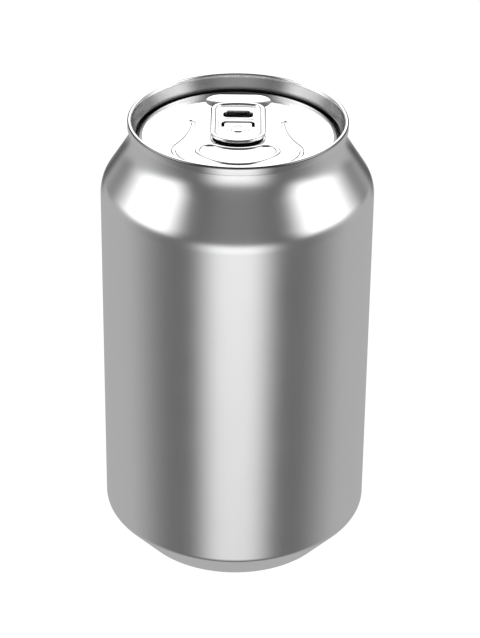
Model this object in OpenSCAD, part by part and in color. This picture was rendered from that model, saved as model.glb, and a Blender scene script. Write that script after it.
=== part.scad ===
// 330 ml two-piece aluminium drink can: drawn body, seamed end and stay-on tab.
// Z is up, the stand ring rests on Z = 0 and the can's axis is X = Y = 0.
// The tear panel lies towards -Y and the tab's finger end towards +Y.

/* [Body] */
// outside diameter of the straight wall
body_d = 66.2; // [60:0.1:75]
// height over the seam
can_h = 115.2; // [105:0.1:135]
// how far below the top the shoulder's corner lies
shoulder_drop = 16.9; // [15:0.1:20]
// rounding of the shoulder
shoulder_r = 6.4; // [3:0.1:10]
// outside diameter of the neck just under the seam
neck_d = 51.0; // [51:0.1:52]
// radius of the curve that turns the neck up into the seam
neck_r = 8.0; // [5:0.1:8]

/* [Base] */
// height of the corner where the wall turns in to the base
base_h = 9.2; // [8:0.1:12]
// rounding of that corner
base_r = 2.2; // [1:0.1:4]
// diameter of the middle of the stand ring
stand_d = 48.4; // [46:0.1:50]
// width of the flat the can stands on
stand_flat = 0.8; // [0.6:0.1:1.2]
// rounding on both sides of the stand ring
stand_r = 1.0; // [0.6:0.1:1.2]
// width of the stand ring at its root
stand_w = 3.6; // [3.4:0.1:4.4]
// height of the dome's middle above the table
dome_h = 10.4; // [8:0.1:12]
// radius of the domed bottom
dome_r = 46; // [42:1:60]

/* [Seam] */
// outside diameter of the double seam
seam_d = 52.8; // [52.6:0.1:54]
// thickness of the seam
seam_t = 1.0; // [0.9:0.05:1.2]
// height of the seam
seam_h = 2.2; // [2:0.1:2.8]
// how far the chuck wall leans in from the seam to the countersink
chuck_lean = 1.0; // [0.5:0.05:1.2]

/* [End panel] */
// depth of the flat panel below the top of the seam
panel_drop = 3.7; // [3.5:0.1:4.2]
// depth of the countersink groove below the flat panel
groove_depth = 1.8; // [1.4:0.1:2]
// width of the countersink groove
groove_w = 0.56; // [0.45:0.01:0.7]
// thickness of the end under the countersink
end_t = 0.6; // [0.5:0.1:0.8]
// how far the panel's edge rolls down before the groove
edge_fall = 0.55; // [0.3:0.05:0.8]
// width of the rolled edge
edge_w = 1.2; // [1:0.1:1.6]

/* [Relief] */
// half width of the raised bead round the tear panel
bead_hw = 0.65; // [0.5:0.05:0.8]
// height of that bead
bead_h = 0.35; // [0.2:0.05:0.45]
// distance of the tear panel's front bead from the axis
tear_front = 16.95; // [16.5:0.05:17.4]
// radius of the bead's round ends
tear_end_r = 2.9; // [2.6:0.1:3.2]
// radius of the bead's side next to the tab
tear_back_r = 10.3; // [9.8:0.1:11]
// half width of the pressed channel that frames the tear panel
channel_hw = 0.7; // [0.5:0.05:0.85]
// depth of that channel
channel_depth = 0.35; // [0.2:0.05:0.5]
// how far the channel reaches to each side
channel_side = 15.1; // [14.5:0.1:15.6]
// how far in front of the axis the channel is widest
channel_widest = 9.95; // [9:0.05:11]
// distance of the channel's front from the axis
channel_front = 20.4; // [20:0.1:20.8]
// radius of the hooked ends of the channel
hook_r = 1.0; // [0.9:0.05:1.4]
// length of the finger well behind the tab
well_l = 16.6; // [14:0.1:18]
// width of the finger well
well_w = 8.0; // [6:0.1:8.2]
// depth of the finger well
well_depth = 0.75; // [0.4:0.05:1]
// distance of the finger well behind the axis
well_y = 17.5; // [16.8:0.1:17.7]

/* [Tab] */
// width of the tab
tab_w = 13.4; // [12.6:0.1:15]
// length of the tab
tab_l = 22.2; // [20:0.1:24]
// distance from the rivet to the tab's nose
tab_nose = 7.45; // [7:0.05:7.8]
// thickness of the curled rim
tab_t = 1.0; // [0.8:0.05:1.3]
// width of the curled rim
rim_w = 1.44; // [1.1:0.02:1.6]
// gap under the curled rim
tab_gap = 0.3; // [0.2:0.05:0.5]
// thickness of the tab's sheet
sheet_t = 0.3; // [0.25:0.05:0.5]
// radius of the corners beside the nose
nose_r = 5.2; // [4.4:0.1:5.8]
// radius of the corners at the finger end
heel_r = 3.4; // [2.5:0.1:4.5]
// width of the finger hole
hole_w = 7.0; // [6:0.1:8]
// length of the finger hole
hole_l = 3.6; // [3:0.1:4.6]
// distance of the finger hole's far edge from the axis
hole_far = 9.7; // [9:0.1:10.2]
// width of the curved slot behind the rivet
slot_w = 8.0; // [7:0.1:8.6]
// length of the slot's two arms
slot_l = 3.1; // [2.5:0.1:3.4]
// how wide the slot is cut
slot_cut = 0.7; // [0.5:0.05:1]
// distance of the slot's far edge from the axis
slot_far = 4.1; // [3.6:0.1:4.4]

/* [Rivet] */
// diameter of the rivet's button
button_d = 3.7; // [3:0.1:4.4]
// height of the button above the island it holds
button_h = 0.35; // [0.2:0.05:0.5]
// diameter of the rivet's shank
shank_d = 2.6; // [2:0.1:2.8]

/* [Hidden] */
$fn = 96;
// thickness of the body's neck round the end's plug
neck_wall = 0.3;
// height of the seam's straight inner side
rim_straight = 0.9;
// height of the seam's curled lower edge, and how far it turns in
seam_curl = 0.25;
seam_tuck = 0.15;
// roundings where the panel rolls over into the countersink
edge_low_r = 0.45;
edge_top_r = 2.5;
// height the neck's curve takes above its corner, for each millimetre of radius
neck_pull = 0.29;
// small steps from the stand ring's inner wall to the dome
dome_gap = 0.3;
dome_step = 0.5;
// height of the straight inner wall of the stand ring
stand_wall = 1.6;
// length of the sloping sides of the stand ring's section
stand_slope = 0.4;
// how far the tab's sheet lies below the top of its rim
web_drop = 0.55;
// clearance under the island that the rivet holds
island_gap = 0.1;
// length of the island in front of the rivet, and thickness of its front wall
island_nose = 2.6;
island_wall = 0.6;
// corner radii of the finger hole, far and near, and of the slot, outside and inside
hole_far_r = 2.2;
hole_near_r = 0.8;
slot_out_r = 1.1;
slot_in_r = 0.6;
// taper of the rivet's button
button_taper = 0.3;
body_r = body_d / 2;
seam_r = seam_d / 2;
seam_z = can_h - seam_h;
panel_z = can_h - panel_drop;
groove_z = panel_z - groove_depth;
under_z = groove_z - end_t;
rim_in = seam_r - seam_t;
chuck_r = rim_in - chuck_lean;
panel_r = chuck_r - groove_w;
plug_r = neck_d / 2 - neck_wall;
shoulder_z = can_h - shoulder_drop;
neck_corner_z = seam_z - neck_pull * neck_r;
stand_mid = stand_d / 2;
stand_in = stand_mid - stand_w / 2;
dome_edge = stand_in - dome_gap;
dome_edge_z = dome_h - dome_r + sqrt(dome_r * dome_r - dome_edge * dome_edge);
tab_top = panel_z + tab_gap + tab_t;
tab_low = panel_z + tab_gap;
web_z = tab_top - web_drop;
island_z = panel_z + tab_gap + island_gap;
ARC = 10;
CURL = 12;
BEAD = 8;
SINK = 0.2;
TINY = 0.01;
END_EXTRA = 0.03;

// ---- rounded outlines ----

function unit(v) = v / norm(v);
// the arc that rounds corner b between a and c
function corner(a, b, c, r) =
    let (
        u = unit(a - b),
        v = unit(c - b),
        half = acos(u * v) / 2,
        mid = b + unit(u + v) * r / sin(half),
        from = b + u * r / tan(half) - mid,
        to = b + v * r / tan(half) - mid,
        a0 = atan2(from[1], from[0]),
        turn = atan2(to[1], to[0]) - a0,
        sweep = turn > 180 ? turn - 360 : turn < -180 ? turn + 360 : turn
    )
    [for (i = [0:ARC]) mid + r * [cos(a0 + sweep * i / ARC), sin(a0 + sweep * i / ARC)]];
// an outline given as [radius, height, rounding]
function rounded(p) = [
    for (i = [0:len(p) - 1])
        let (b = [p[i][0], p[i][1]])
        if (p[i][2] > 0) each corner(
            [p[i - 1][0], p[i - 1][1]], b, [p[i + 1][0], p[i + 1][1]], p[i][2]
        ) else b
];

// ---- paths made of arcs and straights ----
// A step is [radius, turn]: the path turns by that many degrees, left if positive.
// A step with radius 0 runs straight for the given length.

function step_end(s, at, step) =
    step[0] == 0
        ? [s + step[1] * [cos(at), sin(at)], at]
        : let (side = step[1] > 0 ? 1 : -1, mid = s + side * step[0] * [-sin(at), cos(at)])
            [mid - side * step[0] * [-sin(at + step[1]), cos(at + step[1])], at + step[1]];
// start and heading of every step
function stations(s, at, steps, i = 0) =
    i == len(steps)
        ? [[s, at]]
        : let (e = step_end(s, at, steps[i])) concat([[s, at]], stations(e[0], e[1], steps, i + 1));
// points along the path, moved to its left by inset
function along(start, at, steps, inset) =
    let (st = stations(start, at, steps))
    [
        for (i = [0:len(steps) - 1])
            let (n = steps[i][0] == 0 ? 1 : ceil(abs(steps[i][1]) / 6))
            for (k = [0:n - 1])
                let (
                    part = [steps[i][0], steps[i][1] * k / n],
                    e = k == 0 ? st[i] : step_end(st[i][0], st[i][1], part)
                )
                e[0] + inset * [-sin(e[1]), cos(e[1])]
    ];
function far_end(start, steps, inset) =
    let (e = stations(start, 0, steps)[len(steps)]) e[0] + inset * [-sin(e[1]), cos(e[1])];
// the other half of an outline that mirrors across the Y axis
function with_mirror(p) = concat(p, [for (i = [len(p) - 1:-1:0]) if (abs(p[i][0]) > TINY) [-p[i][0], p[i][1]]]);

// joins lines of equal length into a tube; closed lines make a ring, open ones get flat ends
module loft(lines, closed) {
    n = len(lines[0]);
    m = len(lines);
    polyhedron(
        points = [for (line = lines) each line],
        faces = concat(
            [
                for (j = [0:m - 1])
                    let (up = (j + 1) % m)
                    for (i = [0:n - (closed ? 1 : 2)])
                        let (next = (i + 1) % n)
                        each [
                            [j * n + next, j * n + i, up * n + next],
                            [up * n + next, j * n + i, up * n + i]
                        ]
            ],
            closed ? [] : [[for (j = [m - 1:-1:0]) j * n], [for (j = [0:m - 1]) j * n + n - 1]]
        )
    );
}
// the section of a bead (up = 1) or of a channel (up = -1): an arc that runs on through the panel's face
function arc_section(hw, h, up) =
    let (
        ball = (hw * hw + h * h) / (2 * h),
        half = acos((ball - h - SINK) / ball)
    )
    [
        for (k = [0:BEAD])
            let (a = half * (1 - 2 * k / BEAD))
            [-up * ball * sin(a), panel_z + up * (h - ball + ball * cos(a))]
    ];

// ---- the three paths, from the front middle round the right half ----

// tab rim: nose, corner, straight side, corner, finger end
nose_turn = 40;
heel_turn = 14;
rim_r = tab_t / 2;
nose_big_r = (tab_w / 2 - nose_r * (1 - sin(nose_turn))) / sin(nose_turn);
heel_big_r = (tab_w / 2 - heel_r * (1 - sin(heel_turn))) / sin(heel_turn);
nose_rise = nose_big_r * (1 - cos(nose_turn)) + nose_r * cos(nose_turn);
heel_rise = heel_big_r * (1 - cos(heel_turn)) + heel_r * cos(heel_turn);
tab_side = tab_l - nose_rise - heel_rise;
tab_start = [0, -tab_nose];
tab_steps = [
    [nose_big_r, nose_turn],
    [nose_r, 90 - nose_turn],
    [0, tab_side],
    [heel_r, 90 - heel_turn],
    [heel_big_r, heel_turn]
];
function tab_ring(inset) = with_mirror(along(tab_start, 0, tab_steps, inset));

// bead round the tear panel: front, round end, side next to the tab
tear_turn = 62;
tear_back_turn = 30;
tear_front_r =
    (tear_end_r * (sin(tear_turn) + sin(tear_back_turn)) + tear_back_r * sin(tear_back_turn)) / sin(tear_turn);
tear_start = [0, -tear_front];
tear_steps = [
    [tear_front_r, tear_turn],
    [tear_end_r, 180 + tear_back_turn - tear_turn],
    [tear_back_r, -tear_back_turn]
];

// channel: front, side, neck, straight, hooked end
flank_r = 6.5;
flank_heading = 122;
waist_r = 22;
waist_turn = 27;
hook_run = 1.6;
hook_turn = 80;
flank_out = channel_side - flank_r;
flank_drop = channel_front - channel_widest - flank_r;
front_turn = 2 * atan2(flank_drop, flank_out);
front_r = flank_r + flank_out / sin(front_turn);
channel_start = [0, -channel_front];
channel_steps = [
    [front_r, front_turn],
    [flank_r, flank_heading - front_turn],
    [waist_r, -waist_turn],
    [0, hook_run],
    [hook_r, -hook_turn]
];

// ---- parts ----

module can_body() {
    color([0.80, 0.81, 0.83])
        rotate_extrude()
            polygon(concat(
                [for (i = [0:ARC * 2])
                    let (r = dome_edge * i / (ARC * 2))
                    [r, dome_h - dome_r + sqrt(dome_r * dome_r - r * r)]],
                rounded([
                    [dome_edge, dome_edge_z, 0],
                    [stand_in, dome_edge_z - dome_step, 0],
                    [stand_in, stand_wall, 0],
                    [stand_mid - stand_flat / 2 - stand_slope, 0, stand_r * 0.6],
                    [stand_mid + stand_flat / 2 + stand_slope, 0, stand_r],
                    [body_r, base_h, base_r],
                    [body_r, shoulder_z, shoulder_r],
                    [neck_d / 2, neck_corner_z, neck_r],
                    [neck_d / 2, seam_z, 0],
                    [plug_r, seam_z, 0],
                    [plug_r, under_z, 0],
                    [0, under_z, 0]
                ])
            ));
}

// the end's section, from its flat underside out to the seam and back to the middle
module end_shell() {
    round_top = seam_t / 2 - TINY;
    rotate_extrude()
        polygon(rounded([
            [0, under_z, 0],
            [plug_r, under_z, 0],
            [plug_r, seam_z, 0],
            [seam_r - seam_tuck, seam_z, 0],
            [seam_r, seam_z + seam_curl, 0],
            [seam_r, can_h, round_top],
            [rim_in, can_h, round_top],
            [rim_in, can_h - rim_straight, 0],
            [chuck_r, panel_z, 0],
            [chuck_r, groove_z, groove_w / 2 - TINY],
            [panel_r, groove_z, groove_w / 2 - TINY],
            [panel_r, panel_z - edge_fall, edge_low_r],
            [panel_r - edge_w, panel_z, edge_top_r],
            [0, panel_z, 0]
        ]));
}

module finger_well() {
    ball_r = (well_w * well_w / 4 + well_depth * well_depth) / (2 * well_depth);
    reach = (well_l - well_w) / 2;
    lift = panel_z - well_depth + ball_r;
    intersection() {
        union() {
            translate([-reach, well_y, lift])
                rotate([0, 90, 0])
                    cylinder(r = ball_r, h = 2 * reach);
            for (side = [-1, 1])
                translate([side * reach, well_y, lift])
                    sphere(r = ball_r);
        }
        // only what lies below the panel is pressed in
        translate([-well_l, well_y - well_w, groove_z])
            cube([2 * well_l, 2 * well_w, groove_depth + SINK]);
    }
}

// the channel that frames the tear panel
module channel() {
    loft([
        for (q = arc_section(channel_hw, channel_depth, -1))
            let (right = concat(
                along(channel_start, 0, channel_steps, q[0]),
                [far_end(channel_start, channel_steps, q[0])]
            ))
            concat(
                [for (i = [len(right) - 1:-1:1]) [-right[i][0], right[i][1], q[1]]],
                [for (p = right) [p[0], p[1], q[1]]]
            )
    ], false);
}

// the round ends of the channel, a touch wider than it so that they meet it cleanly
module channel_ends() {
    ball = (channel_hw * channel_hw + channel_depth * channel_depth) / (2 * channel_depth);
    end = far_end(channel_start, channel_steps, 0);
    for (side = [-1, 1])
        translate([side * end[0], end[1], panel_z - channel_depth + ball])
            sphere(r = ball + END_EXTRA);
}

module tear_bead() {
    loft([
        for (q = arc_section(bead_hw, bead_h, 1))
            [for (p = with_mirror(along(tear_start, 0, tear_steps, q[0]))) [p[0], p[1], q[1]]]
    ], true);
}

module can_end() {
    color([0.86, 0.87, 0.88]) {
        difference() {
            end_shell();
            finger_well();
            channel();
            channel_ends();
        }
        tear_bead();
        translate([0, 0, panel_z - SINK])
            cylinder(d = shank_d, h = island_z + sheet_t - panel_z + SINK);
        translate([0, 0, island_z + sheet_t])
            cylinder(d1 = button_d, d2 = button_d - button_taper, h = button_h);
    }
}

// the curled rim: rings round the tab, joined into a tube
module curled_rim() {
    loft([
        for (j = [0:CURL - 1])
            let (a = 360 * j / CURL, z = tab_low + rim_r * (1 + sin(a)))
            [for (p = tab_ring(rim_w / 2 * (1 - cos(a)))) [p[0], p[1], z]]
    ], true);
}

// a flat outline that follows the tab's edge, drawn in by inset
module tab_outline(inset) {
    polygon(tab_ring(inset));
}

module finger_hole() {
    half = hole_w / 2;
    near = hole_far - hole_l;
    pts = rounded([
        [0, near, 0],
        [half, near, hole_near_r],
        [half, hole_far, hole_far_r],
        [0, hole_far, 0]
    ]);
    polygon(with_mirror(pts));
}

// the slot that frees the island: a bar with two arms that point to the nose
module island_slot() {
    half = slot_w / 2;
    low = slot_far - slot_l;
    pts = rounded([
        [0, slot_far, 0],
        [half, slot_far, slot_out_r],
        [half, low, 0],
        [half - slot_cut, low, 0],
        [half - slot_cut, slot_far - slot_cut, slot_in_r],
        [0, slot_far - slot_cut, 0]
    ]);
    polygon(with_mirror(pts));
}

module tab() {
    island_w = slot_w - 2 * slot_cut;
    island_y = slot_far - slot_cut;
    island_l = island_y + island_nose;
    color([0.84, 0.85, 0.86])
        difference() {
            union() {
                curled_rim();
                translate([0, 0, web_z])
                    linear_extrude(sheet_t)
                        tab_outline(rim_w / 2);
                // the island the rivet holds, pressed down from the web
                translate([-island_w / 2, island_y - island_l, island_z])
                    cube([island_w, island_l, sheet_t]);
                translate([-island_w / 2, island_y - island_l, island_z])
                    cube([island_w, island_wall, web_z + sheet_t - island_z]);
            }
            translate([0, 0, web_z - TINY])
                linear_extrude(tab_t)
                    finger_hole();
            translate([0, 0, web_z - TINY])
                linear_extrude(tab_t)
                    island_slot();
            // the window above the island
            translate([-island_w / 2, island_y - island_l + island_wall, island_z + sheet_t])
                cube([island_w, island_l - island_wall, tab_t]);
            translate([0, 0, panel_z])
                cylinder(d = shank_d, h = tab_t * 2);
        }
}

can_body();
can_end();
tab();
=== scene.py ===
import math

import bmesh
import bpy
from mathutils import Matrix, Vector
from mathutils.geometry import delaunay_2d_cdt


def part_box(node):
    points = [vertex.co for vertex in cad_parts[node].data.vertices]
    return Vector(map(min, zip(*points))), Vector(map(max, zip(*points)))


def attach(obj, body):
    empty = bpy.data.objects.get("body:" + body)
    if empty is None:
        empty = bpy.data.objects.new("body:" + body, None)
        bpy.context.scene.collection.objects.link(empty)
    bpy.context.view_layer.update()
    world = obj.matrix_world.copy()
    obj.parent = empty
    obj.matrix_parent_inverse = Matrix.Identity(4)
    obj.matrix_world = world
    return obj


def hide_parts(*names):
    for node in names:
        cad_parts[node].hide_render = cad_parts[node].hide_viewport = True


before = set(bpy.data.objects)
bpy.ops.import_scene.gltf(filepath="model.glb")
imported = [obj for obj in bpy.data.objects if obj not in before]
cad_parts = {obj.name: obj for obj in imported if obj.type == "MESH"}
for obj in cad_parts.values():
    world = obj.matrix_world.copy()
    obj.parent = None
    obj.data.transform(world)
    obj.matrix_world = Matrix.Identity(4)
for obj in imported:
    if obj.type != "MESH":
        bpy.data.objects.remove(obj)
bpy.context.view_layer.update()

# ---- camera ----
# A long lens stands in front of the can, well above it, and looks down on the end. Distances
# are in millimetres, from the can's axis and from the table it stands on.
mm = 0.001
LENS = 136.04
CAMERA_AT = (0.98, -519.85, 363.31)
LOOK_DOWN = 30.276
ROLL = 0.641

bpy.ops.object.select_all(action="DESELECT")
pitch = Matrix.Rotation(math.radians(90 - LOOK_DOWN), 3, "X")
roll = Matrix.Rotation(math.radians(ROLL), 3, "Z")
bpy.ops.object.camera_add(location=Vector(CAMERA_AT) * mm, rotation=(pitch @ roll).to_euler())
camera = bpy.context.object
camera.name = "camera"
camera.data.sensor_width = 36
camera.data.lens = LENS
camera.data.clip_start = 0.01
camera.data.dof.use_dof = False
bpy.context.scene.camera = camera


# ---- drawn body ----
# One cup of aluminium sheet: drawn and ironed, so the wall carries very fine upright lines,
# then necked in at the top and pressed up into a dome inside the ring it stands on.
BODY_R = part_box("can_body")[1][0] / mm
SEAM_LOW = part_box("can_body")[1][2] / mm
UNDER_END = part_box("can_end")[0][2] / mm
DOME_TOP = 10.4
DOME_R = 46.0
DOME_FOOT = 21.6
RING_IN, RING_ROOT = 22.4, 1.6
RING_FLAT = (23.4, 25.0)
BASE_UP, BASE_ROUND = 9.2, 2.2
MID_WALL = 50
SHOULDER_UP, SHOULDER_ROUND = 98.3, 8.0
NECK_R, NECK_UP, NECK_ROUND = 25.5, 110.3, 14.0
NECK_FLARE = 0.06
MOUTH_R = 25.2
UNDER_GAP = 0.05
AROUND = 160


def dome_height(radius):
    return DOME_TOP - DOME_R + math.sqrt(DOME_R ** 2 - radius ** 2)


def rounded(outline, per_step=5.0):
    """Turns the corners of an outline, each [radius, height, rounding], into arcs of short steps."""
    points = []
    for i, (across, up, rounding) in enumerate(outline):
        here = Vector((across, up))
        if rounding == 0:
            points.append(here)
            continue
        before = (Vector(outline[i - 1][:2]) - here).normalized()
        after = (Vector(outline[i + 1][:2]) - here).normalized()
        half = before.angle(after) / 2
        centre = here + (before + after).normalized() * rounding / math.sin(half)
        first = here + before * rounding / math.tan(half) - centre
        turn = math.pi - 2 * half
        if before.x * after.y - before.y * after.x > 0:
            turn = -turn
        steps = max(3, math.ceil(abs(math.degrees(turn)) / per_step))
        for k in range(steps + 1):
            points.append(centre + Matrix.Rotation(turn * k / steps, 2) @ first)
    return points


def draw_line(name, points):
    """Starts a piece as one point and extrudes it along a line given in millimetres."""
    bpy.ops.object.select_all(action="DESELECT")
    bpy.ops.mesh.primitive_plane_add(size=mm)
    piece = bpy.context.object
    piece.name = name
    piece.data.name = name
    bpy.ops.object.mode_set(mode="EDIT")
    bpy.ops.mesh.merge(type="CENTER")
    bpy.ops.transform.translate(value=Vector(points[0]) * mm)
    for last, point in zip(points, points[1:]):
        step = (Vector(point) - Vector(last)) * mm
        bpy.ops.mesh.extrude_region_move(TRANSFORM_OT_translate={"value": step})
    bpy.ops.mesh.select_all(action="SELECT")
    return piece


def close_up(outwards=True):
    """Merges the doubles of the piece in edit mode and turns its faces outwards."""
    bpy.ops.mesh.select_all(action="SELECT")
    bpy.ops.mesh.remove_doubles(threshold=0.002 * mm)
    if outwards:
        bpy.ops.mesh.normals_make_consistent(inside=False)
    bpy.ops.object.mode_set(mode="OBJECT")


def lathe(name, outline, steps=AROUND):
    """Draws half a section and spins it once round the can's axis."""
    piece = draw_line(name, [(p.x, 0, p.y) for p in outline])
    bpy.ops.mesh.spin(steps=steps, angle=2 * math.pi, center=(0, 0, 0), axis=(0, 0, 1))
    close_up()
    return piece


def smooth(piece, angle=40):
    bpy.ops.object.select_all(action="DESELECT")
    bpy.context.view_layer.objects.active = piece
    piece.select_set(True)
    bpy.ops.object.shade_smooth_by_angle(angle=math.radians(angle))


dome = [Vector((DOME_FOOT * i / 24, dome_height(DOME_FOOT * i / 24))) for i in range(24)]
base_and_wall = rounded([
    [DOME_FOOT, dome_height(DOME_FOOT), 0],
    [RING_IN, dome_height(RING_IN), 0.6],
    [RING_IN, RING_ROOT, 0.8],
    [RING_FLAT[0], 0, 0.6],
    [RING_FLAT[1], 0, 1.0],
    [BODY_R, BASE_UP, BASE_ROUND],
    [BODY_R, MID_WALL, 0],
], 3.0)
# the neck's curve runs on behind the seam, and is cut off at the seam's foot
neck = [p for p in rounded([
    [BODY_R, MID_WALL, 0],
    [BODY_R, SHOULDER_UP, SHOULDER_ROUND],
    [NECK_R, NECK_UP, NECK_ROUND],
    [NECK_R, NECK_UP + NECK_ROUND, 0],
], 3.0) if MID_WALL < p.y < SEAM_LOW]
mouth = [Vector(p) for p in (
    (NECK_R + NECK_FLARE, SEAM_LOW),
    (MOUTH_R, SEAM_LOW),
    (MOUTH_R, UNDER_END - UNDER_GAP),
    (0, UNDER_END - UNDER_GAP),
)]
body = lathe("drawn_body", dome + base_and_wall + neck + mouth)
smooth(body)


def aluminium(name, tint, roughness, spread, grain, bump):
    """Bare aluminium: a metal with fine streaks that vary its gloss and its surface."""
    material = bpy.data.materials.new(name)
    material.use_nodes = True
    nodes, links = material.node_tree.nodes, material.node_tree.links
    shader = nodes["Principled BSDF"]
    shader.inputs["Base Color"].default_value = (*tint, 1)
    shader.inputs["Metallic"].default_value = 1
    place = nodes.new("ShaderNodeTexCoord")
    stretch = nodes.new("ShaderNodeMapping")
    stretch.inputs["Scale"].default_value = grain
    streaks = nodes.new("ShaderNodeTexNoise")
    streaks.inputs["Scale"].default_value = 1000
    streaks.inputs["Detail"].default_value = 3
    links.new(place.outputs["Object"], stretch.inputs["Vector"])
    links.new(stretch.outputs["Vector"], streaks.inputs["Vector"])
    cloud = nodes.new("ShaderNodeTexNoise")
    cloud.inputs["Scale"].default_value = 90
    cloud.inputs["Detail"].default_value = 2
    links.new(place.outputs["Object"], cloud.inputs["Vector"])
    both = nodes.new("ShaderNodeMath")
    both.operation = "ADD"
    links.new(streaks.outputs["Fac"], both.inputs[0])
    links.new(cloud.outputs["Fac"], both.inputs[1])
    gloss = nodes.new("ShaderNodeMapRange")
    gloss.inputs["From Min"].default_value = 0.6
    gloss.inputs["From Max"].default_value = 1.4
    gloss.inputs["To Min"].default_value = roughness - spread
    gloss.inputs["To Max"].default_value = roughness + spread
    links.new(both.outputs["Value"], gloss.inputs["Value"])
    links.new(gloss.outputs["Result"], shader.inputs["Roughness"])
    relief = nodes.new("ShaderNodeBump")
    relief.inputs["Strength"].default_value = bump
    relief.inputs["Distance"].default_value = 0.01 * mm
    links.new(streaks.outputs["Fac"], relief.inputs["Height"])
    links.new(relief.outputs["Normal"], shader.inputs["Normal"])
    return material


ironed = aluminium("ironed_aluminium", (0.90, 0.90, 0.905), 0.24, 0.03, (4, 4, 0.04), 0.1)
body.data.materials.append(ironed)
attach(body, "root")
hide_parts("can_body")


# ---- seamed end ----
# A pressed lid of rolled sheet: its curl is folded with the body's into the double seam, the chuck
# wall leads down to a narrow countersink, and the panel has a bead, a channel and a finger well.
SEAM_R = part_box("can_end")[1][0] / mm
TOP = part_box("can_end")[1][2] / mm
SEAM_THICK, SEAM_ROLL, RIM_STRAIGHT = 1.0, 0.49, 0.9
PANEL_DROP, GROOVE_DEEP, GROOVE_WIDE = 3.7, 1.8, 0.55
CHUCK_LEAN = 1.0
EDGE_WIDE, EDGE_FALL = 0.9, 0.55
PLUG_R = 25.15
PANEL = TOP - PANEL_DROP
GROOVE = PANEL - GROOVE_DEEP
RIM_IN = SEAM_R - SEAM_THICK
CHUCK_R = RIM_IN - CHUCK_LEAN
PANEL_R = CHUCK_R - GROOVE_WIDE
# the lathed ring of the panel ends at FLAT_R; inside it, a sheet fills round the relief
FLAT_R, FLAT_RING = 21.8, 0.1
MARGIN = 0.06

end = lathe("seamed_end", rounded([
    [0, UNDER_END, 0],
    [PLUG_R, UNDER_END, 0],
    [PLUG_R, SEAM_LOW, 0],
    [SEAM_R, SEAM_LOW, 0.28],
    [SEAM_R, TOP, SEAM_ROLL],
    [RIM_IN, TOP, SEAM_ROLL],
    [RIM_IN, TOP - RIM_STRAIGHT, 0.8],
    [CHUCK_R, PANEL, 2.0],
    [CHUCK_R, GROOVE, 0.27],
    [PANEL_R, GROOVE, 0.27],
    [PANEL_R, PANEL - EDGE_FALL, 0.45],
    [PANEL_R - EDGE_WIDE, PANEL, 1.6],
    [FLAT_R + FLAT_RING, PANEL, 0],
    [FLAT_R, PANEL, 0],
], 4.0), 192)


def sweep(name, section, start, heading, steps, per_step=5.0):
    """Carries a section, given as (offset to the left, height), along runs and turns on the panel.
    A step is (0, length) for a straight run, or (radius, degrees), to the left if positive."""
    at = Vector((*start, 0))
    ahead = Matrix.Rotation(math.radians(heading), 3, "Z") @ Vector((1, 0, 0))
    left = Matrix.Rotation(math.radians(90), 3, "Z")
    side = left @ ahead
    piece = draw_line(name, [
        (at.x + side.x * offset, at.y + side.y * offset, height) for offset, height in section])
    for radius, amount in steps:
        if radius == 0:
            at = at + ahead * amount
            bpy.ops.mesh.extrude_region_move(TRANSFORM_OT_translate={"value": ahead * amount * mm})
            continue
        way = 1 if amount > 0 else -1
        hub = at + (left @ ahead) * radius * way
        bpy.ops.mesh.spin(
            steps=max(2, math.ceil(abs(amount) / per_step)),
            angle=math.radians(abs(amount)),
            center=hub * mm,
            axis=(0, 0, -way),
        )
        turn = Matrix.Rotation(math.radians(amount), 3, "Z")
        at = hub + turn @ (at - hub)
        ahead = turn @ ahead
    return piece, at, ahead


def mirror_half(piece):
    """Adds the left half of a piece whose right half ends on the YZ plane."""
    bpy.context.view_layer.objects.active = piece
    mirror = piece.modifiers.new("left half", "MIRROR")
    mirror.merge_threshold = 0.002 * mm
    bpy.ops.object.modifier_apply(modifier=mirror.name)


def relief_section(half, height, base, edge=0.12, count=12):
    """An arc across a bead (height above 0) or channel (below 0), eased into the flat at its edges."""
    ball = (half ** 2 + height ** 2) / (2 * abs(height))
    way = 1 if height > 0 else -1
    slope = math.asin(half / ball)
    eased = []
    for k in range(count + 1):
        a = slope * (1 - 2 * k / count)
        eased.append((ball * math.sin(a), base + way * (abs(height) - ball + ball * math.cos(a))))
    foot = edge * math.tan(slope / 2)
    outer = (half + foot + MARGIN, base)
    ease = rounded([[outer[0], base, 0], [half, base, edge], [eased[1][0], eased[1][1], 0]], 12.0)
    first = [(p.x, p.y) for p in ease[:-1]]
    return first + eased[1:-1] + [(-q, z) for q, z in reversed(first)]


def join(pieces):
    """Joins pieces into the first of them."""
    bpy.ops.object.select_all(action="DESELECT")
    for piece in pieces:
        piece.select_set(True)
    bpy.context.view_layer.objects.active = pieces[0]
    bpy.ops.object.join()


def fill_flat(piece, height):
    """Lays a flat sheet between the open edges that lie at one height: a spot is covered where an
    odd number of edges lies to one side of it, so holes and the islands inside them stay right."""
    sheet = bmesh.new()
    sheet.from_mesh(piece.data)
    rims = [e for e in sheet.edges if e.is_boundary
            and all(abs(v.co.z - height * mm) < 0.004 * mm for v in e.verts)]
    corners = list({v for e in rims for v in e.verts})
    number = {v: i for i, v in enumerate(corners)}
    flat = [v.co.xy / mm for v in corners]
    sides = [(number[e.verts[0]], number[e.verts[1]]) for e in rims]
    _, _, cells, kept, _, _ = delaunay_2d_cdt(flat, sides, [], 0, 1e-6)
    for cell in cells:
        x, y = sum((flat[kept[i][0]] for i in cell), Vector((0, 0))) / len(cell)
        crossings = 0
        for a, b in sides:
            (ax, ay), (bx, by) = flat[a], flat[b]
            if (ay > y) != (by > y) and x < ax + (y - ay) * (bx - ax) / (by - ay):
                crossings += 1
        if crossings % 2:
            sheet.faces.new([corners[kept[i][0]] for i in cell])
    sheet.to_mesh(piece.data)
    sheet.free()


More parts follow.
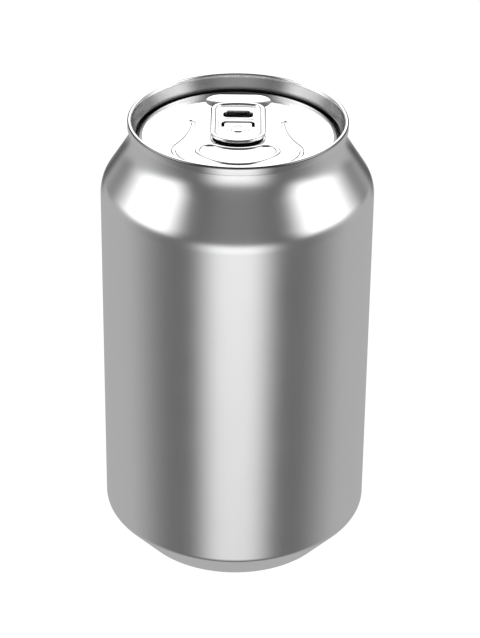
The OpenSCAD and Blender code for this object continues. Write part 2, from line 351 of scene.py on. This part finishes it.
# the bead round the tear panel, its right half from the front: front, round end, side next to the tab
TEAR_FRONT = -16.95
TEAR_TURN, TEAR_BACK_TURN = 62.0, 30.0
TEAR_END_R, TEAR_BACK_R = 2.9, 10.3
BEAD_HALF, BEAD_HIGH = 0.65, 0.35


def sine(degrees):
    return math.sin(math.radians(degrees))


tear_front_r = (TEAR_END_R * (sine(TEAR_TURN) + sine(TEAR_BACK_TURN))
                + TEAR_BACK_R * sine(TEAR_BACK_TURN)) / sine(TEAR_TURN)
bead_section = relief_section(BEAD_HALF, BEAD_HIGH, PANEL)
bead, _, _ = sweep("tear_bead", bead_section, (0, TEAR_FRONT), 0, [
    (tear_front_r, TEAR_TURN),
    (TEAR_END_R, 180 + TEAR_BACK_TURN - TEAR_TURN),
    (TEAR_BACK_R, -TEAR_BACK_TURN),
], 4.0)
close_up(False)
mirror_half(bead)

# the pressed channel that frames the tear panel: front, flank, waist, straight, hooked end
CHANNEL_FRONT, CHANNEL_SIDE, CHANNEL_WIDEST = -20.4, 15.1, -9.95
CHANNEL_HALF, CHANNEL_DEEP = 0.6, 0.3
FLANK_R, FLANK_TURN = 6.5, 122
WAIST_R, WAIST_TURN = 22, 27
HOOK_RUN, HOOK_R, HOOK_TURN = 1.6, 1.0, 80
flank_out = CHANNEL_SIDE - FLANK_R
flank_back = CHANNEL_WIDEST - CHANNEL_FRONT - FLANK_R
front_turn = math.degrees(2 * math.atan2(flank_back, flank_out))
channel_section = relief_section(CHANNEL_HALF, -CHANNEL_DEEP, PANEL)
channel, hook, hook_ahead = sweep("tear_channel", channel_section, (0, CHANNEL_FRONT), 0, [
    (FLANK_R + flank_out / sine(front_turn), front_turn),
    (FLANK_R, FLANK_TURN - front_turn),
    (WAIST_R, -WAIST_TURN),
    (0, HOOK_RUN),
    (HOOK_R, -HOOK_TURN),
], 5.0)
close_up(False)
# its round end is half a turn of half the section
half_section = [p for p in channel_section if p[0] > -0.001]
to_left = Vector((-hook_ahead.y, hook_ahead.x, 0))
tip = draw_line("channel_tip", [
    (*(hook + to_left * offset).xy, height) for offset, height in half_section])
bpy.ops.mesh.spin(steps=18, angle=math.pi, center=hook * mm, axis=(0, 0, 1))
close_up(False)
join([channel, tip])
bpy.ops.object.mode_set(mode="EDIT")
close_up(False)
mirror_half(channel)

# the finger well behind the tab: a shallow trough with round ends
WELL_Y, WELL_HALF, WELL_REACH, WELL_DEEP = 17.3, 3.8, 4.2, 0.42
bowl = relief_section(WELL_HALF, -WELL_DEEP, PANEL, 0.3, 24)
trough = [p for p in bowl if p[0] > -0.001]
well, _, _ = sweep("finger_well", trough, (0, WELL_Y), 0, [(0, WELL_REACH)])
well_end = Vector((WELL_REACH, WELL_Y, 0))
bpy.ops.mesh.spin(steps=28, angle=math.pi, center=well_end * mm, axis=(0, 0, 1))
back_to_middle = Vector((-WELL_REACH, 0, 0))
bpy.ops.mesh.extrude_region_move(TRANSFORM_OT_translate={"value": back_to_middle * mm})
close_up(False)
mirror_half(well)

join([end, bead, channel, well])
bpy.ops.object.mode_set(mode="EDIT")
close_up(False)
fill_flat(end, PANEL)
bpy.ops.object.mode_set(mode="EDIT")
close_up()

# the rivet: a hollow stud drawn up from the panel and headed over the tab
TAB_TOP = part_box("tab")[1][2] / mm
PAN_DROP = 0.38
SHANK_R, HEAD_R, HEAD_HIGH, HEAD_DIMPLE = 1.3, 1.9, 0.25, 0.12
PAN = TAB_TOP - PAN_DROP
rivet = lathe("rivet", rounded([
    [0, PANEL - 0.1, 0],
    [SHANK_R, PANEL - 0.1, 0],
    [SHANK_R, PAN - 0.01, 0],
    [HEAD_R, PAN - 0.01, 0.1],
    [HEAD_R - 0.1, PAN + HEAD_HIGH, 0.2],
    [1.2, PAN + HEAD_HIGH + 0.02, 0.3],
    [1.0, PAN + HEAD_DIMPLE, 0.3],
    [0, PAN + HEAD_DIMPLE, 0],
], 15.0), 64)
join([end, rivet])
smooth(end, 50)

ROLLED_TINT, DARK_TINT = (0.93, 0.93, 0.935, 1), (0.08, 0.08, 0.082, 1)
SHADE_ROUGHER = 0.14
rolled = aluminium("rolled_aluminium", ROLLED_TINT[:3], 0.10, 0.02, (0.25, 6, 6), 0.05)
# darker metal stands in for shade: in the countersink and up the foot of the chuck wall, on the
# seam's outer edge, on the panel under the tab, and on the front and sides of the chuck wall
nodes, links = rolled.node_tree.nodes, rolled.node_tree.links
spot = nodes.new("ShaderNodeSeparateXYZ")
links.new(nodes["Texture Coordinate"].outputs["Object"], spot.inputs["Vector"])


def level(source, low, high, start, stop):
    """Goes smoothly from start to stop as a coordinate goes from low to high, in millimetres."""
    node = nodes.new("ShaderNodeMapRange")
    node.interpolation_type = "SMOOTHSTEP"
    node.inputs["From Min"].default_value = low * mm
    node.inputs["From Max"].default_value = high * mm
    node.inputs["To Min"].default_value = start
    node.inputs["To Max"].default_value = stop
    links.new(source, node.inputs["Value"])
    return node.outputs["Result"]


flat_spot = nodes.new("ShaderNodeVectorMath")
flat_spot.operation = "MULTIPLY"
flat_spot.inputs[1].default_value = (1, 1, 0)
links.new(nodes["Texture Coordinate"].outputs["Object"], flat_spot.inputs[0])
from_axis = nodes.new("ShaderNodeVectorMath")
from_axis.operation = "LENGTH"
links.new(flat_spot.outputs["Vector"], from_axis.inputs[0])
x, y, z, radius = *(spot.outputs[axis] for axis in "XYZ"), from_axis.outputs["Value"]


def reckon(operation, *values):
    """One step of arithmetic on masks."""
    node = nodes.new("ShaderNodeMath")
    node.operation = operation
    for socket, value in zip(node.inputs, values):
        links.new(value, socket)
    return node.outputs["Value"]


countersink = reckon("MULTIPLY", level(z, PANEL - 0.1, PANEL + 0.9, 1, 0),
                     level(radius, PANEL_R - 0.05, PANEL_R + 0.05, 0, 1))
seam_edge = reckon("MULTIPLY", level(z, TOP - 0.6, TOP - 0.4, 0, 0.75),
                   level(radius, SEAM_R - 0.32, SEAM_R - 0.2, 0, 1))
along_tab = reckon("MULTIPLY", level(y, -7.0, -6.4, 0, 1), level(y, 12.5, 13.5, 1, 0))
tab_shadow = reckon("MULTIPLY", level(reckon("ABSOLUTE", x), 5.0, 6.0, 1, 0), along_tab)
under_tab = reckon("MULTIPLY", tab_shadow, level(z, PANEL + 0.1, PANEL + 0.2, 1, 0))
inner_wall = reckon("MULTIPLY", level(z, TOP - 0.8, TOP - 0.4, 1, 0),
                    level(radius, CHUCK_R - 0.15, CHUCK_R, 0, 1))
chuck_wall = reckon("MULTIPLY", inner_wall, level(radius, RIM_IN + 0.15, RIM_IN + 0.35, 1, 0))
wall_side = reckon("MULTIPLY", chuck_wall, level(y, 7, 16, 0.85, 0))
edges = reckon("MAXIMUM", countersink, seam_edge)
dark = reckon("MAXIMUM", edges, reckon("MAXIMUM", under_tab, wall_side))
shade = nodes.new("ShaderNodeMix")
shade.data_type = "RGBA"
shade.inputs["A"].default_value = ROLLED_TINT
shade.inputs["B"].default_value = DARK_TINT
links.new(dark, shade.inputs["Factor"])
rougher = nodes.new("ShaderNodeMath")
rougher.operation = "MULTIPLY_ADD"
rougher.inputs[1].default_value = SHADE_ROUGHER
links.new(reckon("MAXIMUM", under_tab, chuck_wall), rougher.inputs[0])
links.new(nodes["Map Range"].outputs["Result"], rougher.inputs[2])
links.new(rougher.outputs["Value"], nodes["Principled BSDF"].inputs["Roughness"])
links.new(shade.outputs["Result"], nodes["Principled BSDF"].inputs["Base Color"])
end.data.materials.append(rolled)
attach(end, "root")
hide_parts("can_end")

# ---- pull tab ----
# A blank of tab sheet with its edge curled under all round into a stiff rim. The web between has
# the finger hole, with its edge turned down, and the curved slot that frees the riveted island.
TAB_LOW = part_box("tab")[0][2] / mm
TAB_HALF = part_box("tab")[1][0] / mm
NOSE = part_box("tab")[0][1] / mm
TAB_LONG = 22.2
CURL_HALF = 0.72
WEB_TOP, WEB_LOW = TAB_TOP - 0.25, TAB_TOP - 0.5
WEB_STEP = 0.2
HOLE_NEAR, LIP_DEEP = 6.1, 0.6
PAN_FRONT = -4.9
SLOT_NEAR = 3.2
PIP_X, PIP_Y, PIP_R, PIP_HIGH = 2.5, -0.9, 0.24, 0.12
NOSE_TURN, HEEL_TURN = 40.0, 14.0
NOSE_R, HEEL_R = 5.2, 3.4
nose_big = (TAB_HALF - NOSE_R * (1 - sine(NOSE_TURN))) / sine(NOSE_TURN)
heel_big = (TAB_HALF - HEEL_R * (1 - sine(HEEL_TURN))) / sine(HEEL_TURN)
nose_rise = nose_big * (1 - sine(90 - NOSE_TURN)) + NOSE_R * sine(90 - NOSE_TURN)
heel_rise = heel_big * (1 - sine(90 - HEEL_TURN)) + HEEL_R * sine(90 - HEEL_TURN)
tab_edge = [
    (nose_big, NOSE_TURN),
    (NOSE_R, 90 - NOSE_TURN),
    (0, TAB_LONG - nose_rise - heel_rise),
    (HEEL_R, 90 - HEEL_TURN),
    (heel_big, HEEL_TURN),
]
curl_mid, curl_high = (TAB_LOW + TAB_TOP) / 2, (TAB_TOP - TAB_LOW) / 2
curl = [(CURL_HALF * (1 - math.cos(a)), curl_mid + curl_high * math.sin(a))
        for a in (math.pi * k / 14 for k in range(29))]
rim, _, _ = sweep("pull_tab", curl, (0, NOSE), 0, tab_edge, 3.0)
close_up(False)
mirror_half(rim)

# the web steps down beside the curl before it runs in under it
web, _, _ = sweep("web_edge", [
    (1.56, WEB_TOP),
    (1.5, WEB_TOP - 0.02),
    (1.46, WEB_TOP - WEB_STEP),
    (CURL_HALF, WEB_TOP - WEB_STEP),
    (CURL_HALF, WEB_LOW),
], (0, NOSE), 0, tab_edge, 6.0)
close_up(False)
lip_section = rounded([
    [-0.55, WEB_TOP, 0],
    [-0.45, WEB_TOP, 0],
    [0, WEB_TOP, 0.3],
    [0, WEB_TOP - LIP_DEEP, 0.08],
    [-0.2, WEB_TOP - LIP_DEEP, 0.08],
    [-0.2, WEB_LOW, 0.1],
    [-0.55, WEB_LOW, 0],
], 12.0)
hole_lip, _, _ = sweep("hole_lip", lip_section, (0, HOLE_NEAR), 0, [
    (0, 2.3),
    (1.2, 90),
    (0, 1.0),
    (1.4, 90),
    (0, 2.1),
], 7.5)
close_up(False)
step_section = rounded([
    [-0.3, WEB_TOP, 0],
    [-0.2, WEB_TOP, 0],
    [-0.08, WEB_TOP, 0.06],
    [0.06, PAN, 0.06],
    [0.2, PAN, 0],
    [0.3, PAN, 0],
], 12.0)
pan_step, _, _ = sweep("pan_step", step_section, (0, PAN_FRONT), 0, [
    (0, 1.0),
    (3.7, 90),
    (0, 4.6),
    (1.8, 90),
    (0, 2.9),
], 6.0)
close_up(False)
slot_section = rounded([
    [-0.28, PAN, 0],
    [-0.2, PAN, 0],
    [0, PAN, 0.1],
    [0, WEB_LOW, 0.06],
    [-0.28, WEB_LOW, 0],
], 15.0)
slot_lip, _, _ = sweep("slot_lip", slot_section, (0, SLOT_NEAR), 0, [
    (0, 2.7),
    (0.6, -90),
    (0, 1.25),
    (0.35, 180),
    (0, 1.65),
    (1.1, 90),
    (0, 2.9),
], 10.0)
close_up(False)
join([web, hole_lip, pan_step, slot_lip])
mirror_half(web)
for sheet_height in (WEB_TOP, PAN, WEB_LOW):
    fill_flat(web, sheet_height)
pips = []
for side in (-1, 1):
    pip = lathe("pip", rounded([
        [0, PAN - 0.05, 0],
        [PIP_R, PAN - 0.05, 0],
        [PIP_R - 0.04, PAN + PIP_HIGH, 0.1],
        [0, PAN + PIP_HIGH, 0],
    ], 20.0), 20)
    bpy.ops.object.mode_set(mode="EDIT")
    bpy.ops.mesh.select_all(action="SELECT")
    bpy.ops.transform.translate(value=Vector((PIP_X * side, PIP_Y, 0)) * mm)
    bpy.ops.object.mode_set(mode="OBJECT")
    pips.append(pip)
join([rim, web] + pips)
bpy.ops.object.mode_set(mode="EDIT")
close_up()
smooth(rim, 40)
tab_sheet = aluminium("tab_aluminium", (0.93, 0.93, 0.935), 0.10, 0.02, (6, 0.25, 6), 0.05)
rim.data.materials.append(tab_sheet)
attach(rim, "root")
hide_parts("tab")


# ---- floor and light ----
# A white sweep that runs out of sight, and soft light from big panels all round the can.
PAPER_WHITE = 1.05
bpy.ops.object.select_all(action="DESELECT")
bpy.ops.mesh.primitive_plane_add(size=8)
floor = bpy.context.object
floor.name = "floor"
floor.visible_glossy = False
floor.visible_shadow = False
paper = bpy.data.materials.new("white_paper")
paper.use_nodes = True
paper.node_tree.nodes.remove(paper.node_tree.nodes["Principled BSDF"])
glow = paper.node_tree.nodes.new("ShaderNodeEmission")
glow.inputs["Strength"].default_value = PAPER_WHITE
paper_out = paper.node_tree.nodes["Material Output"]
paper.node_tree.links.new(glow.outputs["Emission"], paper_out.inputs["Surface"])
floor.data.materials.append(paper)

world = bpy.data.worlds.new("studio")
bpy.context.scene.world = world
world.use_nodes = True
sky, wires = world.node_tree.nodes, world.node_tree.links
way = sky.new("ShaderNodeTexCoord")
parts = sky.new("ShaderNodeSeparateXYZ")
wires.new(way.outputs["Generated"], parts.inputs["Vector"])


def calc(operation, *values):
    """One step of arithmetic on directions or brightness."""
    node = sky.new("ShaderNodeMath")
    node.operation = operation
    for socket, value in zip(node.inputs, values):
        if isinstance(value, (int, float)):
            socket.default_value = value
        else:
            wires.new(value, socket)
    return node.outputs[0]


def ramp(value, low, high, start=0.0, stop=1.0):
    """Goes smoothly from start to stop as value goes from low to high."""
    node = sky.new("ShaderNodeMapRange")
    node.interpolation_type = "SMOOTHSTEP"
    node.inputs["From Min"].default_value = low
    node.inputs["From Max"].default_value = high
    node.inputs["To Min"].default_value = start
    node.inputs["To Max"].default_value = stop
    wires.new(value, node.inputs["Value"])
    return node.outputs["Result"]


def band(value, low, low_full, high_full, high):
    """Comes up from 0 at low to 1 at low_full, and goes down from high_full to 0 at high."""
    return calc("MULTIPLY", ramp(value, low, low_full), ramp(value, high_full, high, 1, 0))


# a direction's bearing, in degrees from straight in front to either side, and its rise
to_degrees = 180 / math.pi
turned = calc("ARCTAN2", parts.outputs["X"], calc("MULTIPLY", parts.outputs["Y"], -1.0))
bearing = calc("MULTIPLY", calc("ABSOLUTE", turned), to_degrees)
rise = calc("MULTIPLY", calc("ARCSINE", parts.outputs["Z"]), to_degrees)

# the room: dim in front, lighter to the sides and behind
room = ramp(bearing, 52, 108, 0.14, 0.44)
# it is darker between the side and back panels, and most of all in the slit beside the back one
gap = calc("MULTIPLY", band(rise, -9, 0, 14, 22),
           calc("MULTIPLY", ramp(bearing, 112, 130), ramp(bearing, 160, 172, 1, 0.3)))
room = calc("MULTIPLY", room, ramp(gap, 0, 1, 1.0, 0.45))
slit = calc("MULTIPLY", band(bearing, 144, 153, 163, 172), band(rise, -24, -16, 14, 22))
room = calc("MULTIPLY", room, ramp(slit, 0, 1, 1.0, 0.15))
# and darker overhead, and in front above the low panel
room = calc("MULTIPLY", room, ramp(rise, 40, 60, 1.0, 0.35))
front_shade = calc("MULTIPLY", ramp(rise, -8, 4, 0, 0.22), ramp(bearing, 70, 90, 1, 0))
room = calc("MULTIPLY", room, calc("SUBTRACT", 1.0, front_shade))
# a low panel in front, under the camera
front = calc("MULTIPLY", ramp(bearing, 10, 42, 1, 0), band(rise, -75, -30, -6, 13))
low_front = calc("MULTIPLY", front, ramp(rise, -32, -16, 0.72, 1.0))
# its faint spill on the wall above
spill = calc("MULTIPLY", ramp(bearing, 8, 40, 0.11, 0), band(rise, -10, 20, 38, 55))
# one panel on each side, and one behind that leans in over the can
PANEL_LIGHT = 1.3
sides = calc("MULTIPLY", band(bearing, 44, 67, 92, 125), band(rise, -1, 15, 44, 70))
back = calc("MULTIPLY", ramp(bearing, 138, 158), band(rise, 12, 21, 50, 64))
panels = calc("MULTIPLY", calc("MAXIMUM", sides, back), PANEL_LIGHT)
light = calc("ADD", calc("ADD", calc("ADD", room, low_front), spill), panels)
light_path = sky.new("ShaderNodeLightPath")
mix = sky.new("ShaderNodeMix")
mix.data_type = "FLOAT"
wires.new(light_path.outputs["Is Camera Ray"], mix.inputs["Factor"])
wires.new(light, mix.inputs["A"])
mix.inputs["B"].default_value = PAPER_WHITE
wires.new(mix.outputs["Result"], sky["Background"].inputs["Strength"])
sky["Background"].inputs["Color"].default_value = (1, 1, 1, 1)
bpy.context.scene.view_settings.view_transform = "Standard"
bpy.context.scene.cycles.glossy_bounces = 3
